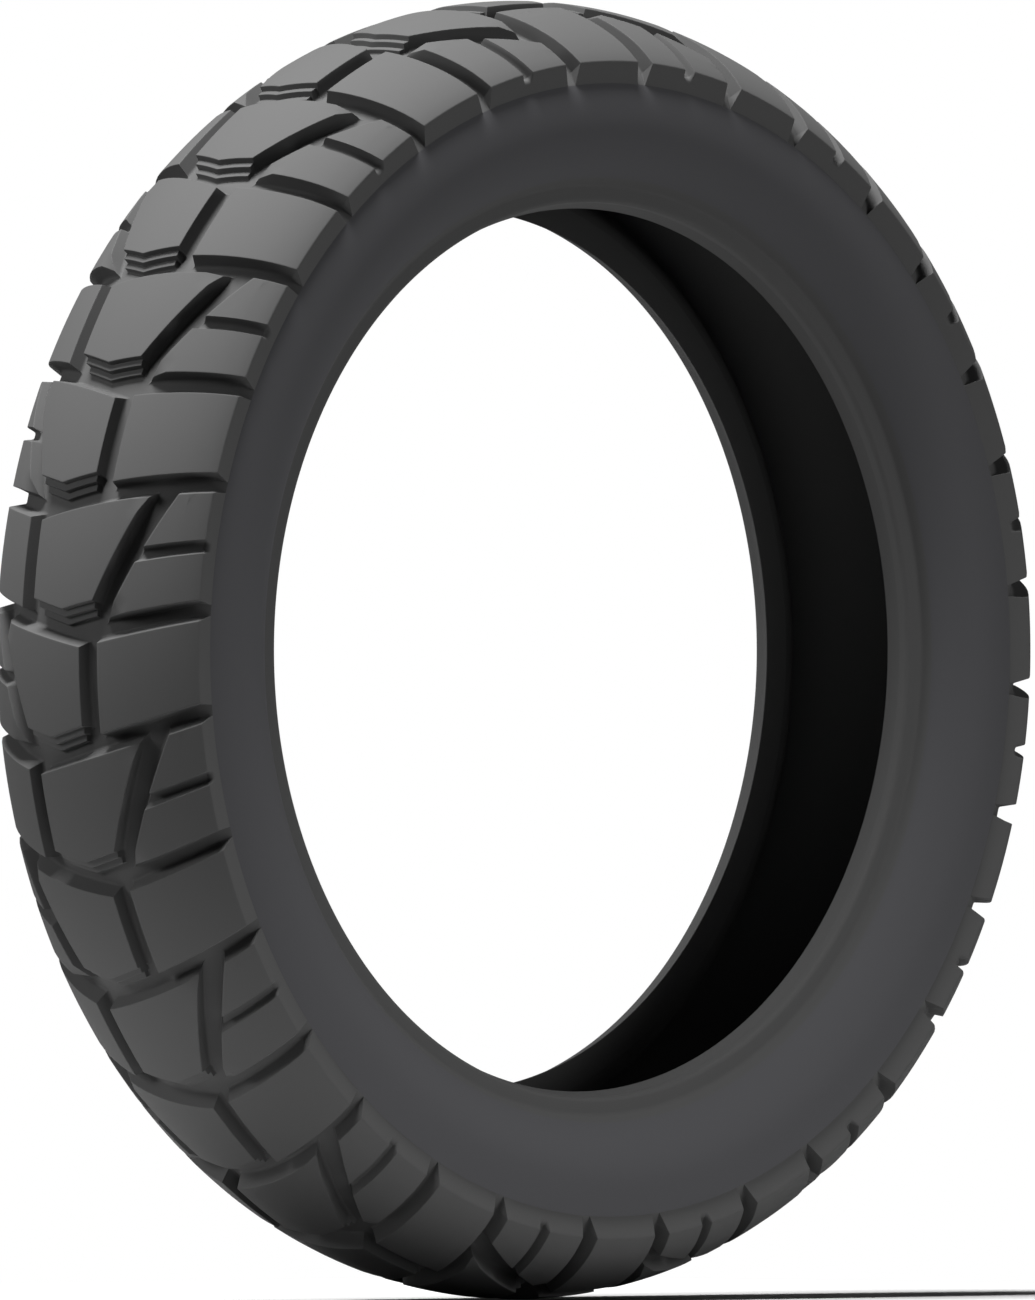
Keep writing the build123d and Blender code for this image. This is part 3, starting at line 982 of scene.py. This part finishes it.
@dataclass
class Tread:
    """The tread base with its groove floor, and the six families of blocks on it."""

    shape: TireShape
    pattern: Pattern = Pattern()
    center_side: float = 17.0
    groove_width: float = 10.9
    leading_draft: float = 20.0
    trailing_draft: float = 9.5
    side_draft: float = 8.0
    step_height: float = 2.9
    step_share: float = 0.030
    step_inset: float = 1.0
    beak_drop: float = 6.5
    point_drop: float = 7.5
    split_depth: float = 5.0
    base_thickness: float = 3.0
    base_root: Pair = (5.0, 3.0)
    # How clear of painted shade the groove floor is: 0.6 leaves it partly darkened.
    base_unshaded: float = 0.6
    shoulder_lead: float = 12.0
    column_width: float = 6.0
    side_shares: Pair = (0.3, 0.62)
    crease_lines: Pair = (0.6, 1.4)

    def center_block(self) -> list[Block]:
        """Block beside the middle plane: slanted sides, a beak in front, chevron steps behind.

        Returns:
            The block and its two steps.
        """
        shape, pattern, pitch = self.shape, self.pattern, self.shape.pitch_length
        inner = -self.center_side
        left, peak = Station(inner), Station(pattern.center_peak[0])
        front_right, beak_side, back_right = (
            pattern.center_front, pattern.beak_side, pattern.center_back)
        back = [(inner, pattern.center_inner[1]), pattern.center_peak, back_right]
        right = Station.through(beak_side, back_right, pitch)
        beside = right.beside(
            -(right.start + right.slope * front_right[1] * pitch - front_right[0])
            / math.sqrt(1 + right.slope**2))
        front_edge = Edge([(inner, pattern.center_inner[0]), front_right], pitch)
        back_edge = Edge(back, pitch)
        low, high = (line.at(np.array(beak_side[0])) for line in (front_edge, back_edge))
        beak_row = float((beak_side[1] * pitch - low) / (high - low))
        main = Block(
            shape, front_edge, back_edge,
            [(left, 5), (peak, 6), (beside, 1), (right, 1)],
            Wall(self.side_draft), Wall(self.side_draft),
            Wall(self.leading_draft), Wall(self.trailing_draft),
            rows=(beak_row, 0.26, 0.38, 0.5, 0.62, 0.74, 0.87),
            facets=[[(*front_right, 0.0), (*beak_side, 0.0),
                     (*pattern.beak_apex, self.beak_drop)]],
            extra_depths=(self.beak_drop,))
        steps = []
        for count in (1, 2):
            shift = count * self.step_share
            edge = Edge([(across, share + shift) for across, share in back], pitch)
            root = Edge([(inner, pattern.step_root), (back_right[0], pattern.step_root)], pitch)
            steps.append(Block(
                shape, root, edge, [(Station(inner + count * self.step_inset), 5), (peak, 5),
                                    (Station(back_right[0]), 1)],
                Wall(self.side_draft, 0.3, 0.8), Wall(self.side_draft, 0.3, 0.8),
                Wall(0, closed=False), Wall(self.trailing_draft, 0.3, 1.0),
                top=count * self.step_height, rows=(0.35, 0.7)))
        return [main, *steps]

    def large_block(self) -> list[Block]:
        """Wide shoulder block from the straight groove over the corner to the crease.

        Returns:
            The block.
        """
        shape, pattern, pitch = self.shape, self.pattern, self.shape.pitch_length
        inner = self.center_side + self.groove_width
        lines = (inner, shape.corner, shape.crease_mark)
        front = Edge(list(zip(lines, pattern.large_front)), pitch)
        back = Edge(list(zip(lines, pattern.large_back)), pitch)
        return [Block(
            shape, front, back, self.shoulder_stations(Station(inner)),
            Wall(self.side_draft), Wall(0, closed=False),
            Wall(self.leading_draft), Wall(self.trailing_draft))]

    def split_block(self) -> list[Block]:
        """Narrower shoulder block with a slanted inner side, split by a shallow groove.

        Returns:
            The block.
        """
        shape, pattern, pitch = self.shape, self.pattern, self.shape.pitch_length
        inner_back, inner_point = pattern.split_inner_back, pattern.split_point

        def edge(start: Pair, shares: Pair) -> Edge:
            """An edge from an inner place over the shoulder corner to the crease."""
            return Edge([start, (shape.corner, shares[0]), (shape.crease_mark, shares[1])], pitch)

        front = edge(pattern.split_inner_front, pattern.split_front)
        back = edge(inner_point, pattern.split_back)
        inner = Station.through(pattern.split_inner_front, inner_back, pitch)
        beside = inner.beside((inner_point[0] - inner.start - inner.slope * inner_point[1] * pitch)
                              / math.sqrt(1 + inner.slope**2))
        groove = Groove(edge(*pattern.groove_front), edge(*pattern.groove_back),
                        self.split_depth, *pattern.groove_rows)
        point_row = groove.share_at(inner_back[0], inner_back[1] * pitch,
                                    float(back.at(np.array(inner_back[0]))))
        return [Block(
            shape, front, back,
            [(inner, 1), (beside, 6),
             *self.shoulder_stations(Station(shape.corner - self.shoulder_lead))],
            Wall(self.side_draft), Wall(0, closed=False),
            Wall(self.leading_draft), Wall(self.trailing_draft),
            rows=(0.12, 0.24, 0.35, 0.70, 0.80, point_row),
            facets=[[(*inner_point, 0.0), (*inner_back, 0.0),
                     (*pattern.split_apex, self.point_drop)]],
            groove=groove, extra_depths=(self.point_drop,))]

    def shoulder_stations(self, inner: Station) -> list[tuple[Station, int]]:
        """Columns from an inner line over the rounded corner and down the side face.

        Args:
            inner: the line that they start from.

        Returns:
            Lines, each with the number of columns up to the next.
        """
        shape = self.shape
        low, high = shape.corner_start, shape.corner_end
        fall = shape.crease_mark - high
        steps = max(2, round((low - inner.start) / self.column_width))
        before, past = self.crease_lines
        return [(inner, steps), (Station(low), 3), (Station(high), 2),
                *((Station(high + share * fall), 3) for share in self.side_shares),
                (Station(shape.crease_mark - before), 1), (Station(shape.crease_mark + past), 1)]

    def family(self, name: str, blocks: list[Block], side: Side) -> bpy.types.Object:
        """Repeat a block round one side of the tire.

        The right-hand side turns the block by whole pitches. The left-hand side mirrors it
        across the middle plane, which turns its faces over, and starts half a pitch further.

        Args:
            name: the piece's name.
            blocks: the block's grids.
            side: which half of the tire.

        Returns:
            One object with every copy.
        """
        meshes = [block.mesh() for block in blocks]
        starts = np.cumsum([0] + [len(points) for points, _, _ in meshes])
        points = np.concatenate([points for points, _, _ in meshes])
        triangles = np.concatenate([part + start for (_, part, _), start in zip(meshes, starts)])
        scuffed = np.concatenate([share for _, _, share in meshes])
        half = 0.0
        if side is Side.LEFT:
            points = points * np.array([1.0, -1.0, 1.0])
            triangles = triangles[:, ::-1]
            half = 0.5
        turn = 2 * np.pi * (np.arange(self.shape.pitch_count) + half) / self.shape.pitch_count
        cosine, sine = np.cos(turn)[:, None], np.sin(turn)[:, None]
        copies = np.stack([points[None, :, 0] * cosine - points[None, :, 2] * sine,
                           np.broadcast_to(points[None, :, 1], (len(turn), len(points))),
                           points[None, :, 0] * sine + points[None, :, 2] * cosine], axis=-1)
        numbers = triangles[None] + len(points) * np.arange(len(turn))[:, None, None]
        piece = to_mesh(name, copies.reshape(-1, 3), numbers.reshape(-1, 3))
        # Every copy carries the block's painted groove shade.
        mark_painted_shade(piece, np.tile(scuffed, len(turn)))
        return piece

    def base(self) -> bpy.types.Object:
        """The rubber under the blocks: the groove floor outside and a parallel face inside.

        Returns:
            The ring.
        """
        shape = self.shape
        floor = Contour((shape.outer_radius - shape.tread_depth, 0.0))
        floor.bend(shape.crown_arc - shape.tread_depth, shape.crown_turn)
        floor.bend(shape.shoulder_arc - shape.tread_depth, shape.shoulder_turn - shape.crown_turn)
        outer = np.concatenate([floor.sample(4.0, 2.5), [shape.crease]])
        root = np.array(shape.crease) - self.base_root
        inner = np.concatenate([outer[:-1] - [self.base_thickness, 0], [root]])
        inner[:, 1] = np.minimum(inner[:, 1], root[1])
        piece = ring("tread_base_rubber", band(outer, inner), 512)
        # The groove floor gets an even partial painted shade.
        mark_painted_shade(piece, np.full(len(piece.data.vertices), self.base_unshaded))
        return piece

    def build(self) -> None:
        """Make and dress the base and every block family on both sides."""
        dress(self.base(), "tread_rubber", "tread_base")
        families = {"center_blocks": self.center_block(),
                    "shoulder_blocks_large": self.large_block(),
                    "shoulder_blocks_split": self.split_block()}
        for side in Side:
            for name, blocks in families.items():
                piece = self.family(f"moulded_{name}_{side.word}", blocks, side)
                dress(piece, "tread_rubber", f"{name}_{side.word}")


@dataclass
class Flanks:
    """Sidewalls, bead chafers and the airtight liner."""

    shape: TireShape
    skin: float = 2.0
    liner_skin: float = 1.2
    inner_end: Pair = (242.45, 44.6)
    inner_lean: Pair = (2.0, 6.0)
    chafer_tilt: float = 45.0
    toe_turn: Pair = (200.0, 268.0)
    toe_shift: Pair = (1.0, 0.9)

    def sidewall_outline(self) -> np.ndarray:
        """Closed outline: one arc from the crease to the widest point, one on to the bead.

        Returns:
            The outline.
        """
        shape = self.shape
        rise = math.asin((shape.crease[0] - shape.widest[0]) / shape.upper_arc)
        outer = Contour(shape.crease, 90 - math.degrees(rise))
        outer.bend(shape.upper_arc, math.degrees(rise)).bend(self.lower_arc(), self.chafer_tilt)
        points, sides = outer.at(np.linspace(0, outer.marks[-1], 60))
        inner = points - self.skin * sides
        return counter_clockwise(np.concatenate([points, inner[::-1]]))

    def lower_arc(self) -> float:
        """Radius of the arc that leaves the widest point square and meets the flange corner.

        Returns:
            The radius in millimetres.
        """
        drop = self.shape.widest[0] - self.shape.flange_corner[0]
        narrowing = self.shape.widest[1] - self.shape.flange_corner[1]
        return (drop**2 + narrowing**2) / (2 * narrowing)

    def bead_outline(self) -> np.ndarray:
        """Closed outline of the chafer: flange hollow, bead face, heel, seat, toe, inner face.

        Returns:
            The outline.
        """
        shape = self.shape
        radius = self.lower_arc()
        center = np.array([shape.widest[0], shape.widest[1] - radius])
        tilt = math.degrees(math.acos((shape.flange_corner[1] - center[1]) / radius))
        face = np.array(shape.heel) - np.array(shape.flange_corner)
        side = math.degrees(math.atan2(face[1], face[0])) % 360 - 90
        hollow = 90 + tilt - side
        cut = shape.flange_fillet * math.tan(math.radians(hollow) / 2)
        short = tilt - math.degrees(cut / radius)
        start = 90 + self.chafer_tilt
        outline = Contour(center + radius * heading(start), start)
        outline.bend(radius, short - self.chafer_tilt)
        outline.bend(shape.flange_fillet, side - 90 - short)
        square = math.radians(180 - side)
        heel_cut = shape.heel_round * math.tan(square / 2)
        outline.run(float(np.hypot(*face)) - cut - heel_cut).bend(shape.heel_round, 180 - side)
        land = outline.ends[-1][1] - (shape.heel[1] - shape.heel_round - shape.land_length)
        outline.run(land)
        seat = outline.sample(1.0, 9.0)
        nose = np.array(shape.toe) + shape.toe_round * (
            heading(np.linspace(*self.toe_turn, 6)) + self.toe_shift)
        inner = np.array([self.inner_end, np.add(self.inner_end, self.inner_lean)])
        return counter_clockwise(np.concatenate([seat, nose, inner]))

    def liner_outline(self) -> np.ndarray:
        """Closed outline of the liner from one bead over the crown to the other bead.

        Returns:
            The outline.
        """
        shape = self.shape
        inside = Contour(shape.liner_crown)
        for radius, turn in shape.liner_bends:
            inside.bend(radius, turn)
        inside.run(shape.liner_run).bend(shape.liner_hollow, -shape.liner_bends[-1][1])
        points, sides = inside.at(np.linspace(0, inside.marks[-1], 48))
        return band(points + self.liner_skin * sides, points)

    def build(self) -> None:
        """Make and dress the liner and both sides' sidewall and chafer."""
        dress(ring("airtight_liner", self.liner_outline()), "liner_rubber", "inner_liner")
        for side in Side:
            for name, outline, slot in (
                    ("sidewall", self.sidewall_outline(), "sidewall_rubber"),
                    ("chafer", self.bead_outline(), "chafer_rubber")):
                turned = counter_clockwise(outline * [1, side.value])
                piece = ring(f"moulded_{name}_{side.word}", turned, 512)
                dress(piece, slot, f"{name}_{side.word}")


# ---------------------------------------------------------------------------------------------
# Studio
# ---------------------------------------------------------------------------------------------
@dataclass
class Studio:
    """Long-lens camera, pale floor, white surround and large soft lamps."""

    azimuth: float = -45.0
    lens: float = 1230.0
    frame_height: float = 0.6712
    floor_size: float = 1.2
    floor_gap: float = 0.0005
    paper: Pair = (0.66, 0.70)
    ambient: float = 0.05

    def camera(self) -> None:
        """Aim a long lens at the wheel centre from the right-hand front quarter."""
        data = bpy.data.cameras.new("long_lens")
        data.lens = self.lens
        distance = self.frame_height * self.lens / data.sensor_width
        data.clip_end = 60.0
        turn = math.radians(self.azimuth)
        camera = bpy.data.objects.new("long_lens", data)
        camera.location = (distance * math.sin(turn), -distance * math.cos(turn), 0.0)
        camera.rotation_euler = (math.pi / 2, 0.0, turn)
        bpy.context.scene.collection.objects.link(camera)
        bpy.context.scene.camera = camera

    def lamp(self, name: str, place: Sequence[float], size: Sequence[float], power: float,
             lit: bpy.types.Collection | None = None) -> None:
        """Add a rectangular lamp that faces the wheel centre.

        Args:
            name: the lamp's name.
            place: where it stands, in metres.
            size: its width and height.
            power: watts.
            lit: the only things that it lights, or None for everything.
        """
        data = bpy.data.lights.new(name, "AREA")
        data.shape = "RECTANGLE"
        data.size, data.size_y = size
        data.energy = power
        lamp = bpy.data.objects.new(name, data)
        lamp.location = place
        way = -np.array(place) / np.linalg.norm(place)
        lamp.rotation_euler = (math.acos(-way[2]), 0.0, math.atan2(-way[0], way[1]))
        if lit is not None:
            lamp.light_linking.receiver_collection = lit
        bpy.context.scene.collection.objects.link(lamp)

    def floor(self) -> None:
        """Lay a pale matt floor under the lowest block."""
        half, low = self.floor_size / 2, CAD_BOX[0][2] - self.floor_gap
        points = np.array([[-half, -half, low], [half, -half, low],
                           [half, half, low], [-half, half, low]])
        floor = to_mesh("studio_floor", points, np.array([[0, 1, 2], [0, 2, 3]]))
        bench = Bench("studio_paper")
        fibre = bench.noise(0.004, 3.0)
        colour = bench.between(fibre, [self.paper[0]] * 3, [self.paper[1]] * 3)
        floor.data.materials.append(bench.finish(Base_Color=colour, Roughness=0.9))

    def surround(self) -> None:
        """White beyond the floor, with a dimmer even light on the tire."""
        world = bpy.data.worlds.new("surround")
        bpy.context.scene.world = world
        world.use_nodes = True
        tree = world.node_tree
        tree.nodes.clear()
        seen = tree.nodes.new("ShaderNodeBackground")
        lit = tree.nodes.new("ShaderNodeBackground")
        path = tree.nodes.new("ShaderNodeLightPath")
        mix = tree.nodes.new("ShaderNodeMixShader")
        out = tree.nodes.new("ShaderNodeOutputWorld")
        seen.inputs["Color"].default_value = (1.0, 1.0, 1.0, 1.0)
        lit.inputs["Strength"].default_value = self.ambient
        tree.links.new(path.outputs["Is Camera Ray"], mix.inputs["Fac"])
        tree.links.new(lit.outputs["Background"], mix.inputs[1])
        tree.links.new(seen.outputs["Background"], mix.inputs[2])
        tree.links.new(mix.outputs["Shader"], out.inputs["Surface"])

    def build(self) -> None:
        """Set up camera, floor, surround and lamps, the low lamps clear of the floor."""
        tire = bpy.data.collections.new("lit_tire")
        for piece in bpy.context.scene.objects:
            if piece.type == "MESH":
                tire.objects.link(piece)
        self.camera()
        self.floor()
        self.surround()
        self.lamp("top_softbox", (-0.75, 0.05, 2.6), (1.1, 1.1), 215.0)
        self.lamp("left_softbox", (-2.6, 1.2, 0.9), (1.0, 1.0), 44.0, tire)
        self.lamp("side_softbox", (1.5, -2.9, 0.5), (1.4, 1.4), 44.0, tire)
        scene = bpy.context.scene
        scene.view_settings.view_transform = "Standard"
        scene.view_settings.look = "None"


def main() -> None:
    """Build the tire from the inside out, then the studio."""
    logging.basicConfig(level=logging.INFO, format="%(name)s %(message)s", force=True)
    for finish in FINISHES:
        finish.make()
    shape = TireShape()
    Casing().build()
    Tread(shape).build()
    Flanks(shape).build()
    Studio().build()
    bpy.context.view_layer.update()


if __name__ == "__main__":
    main()
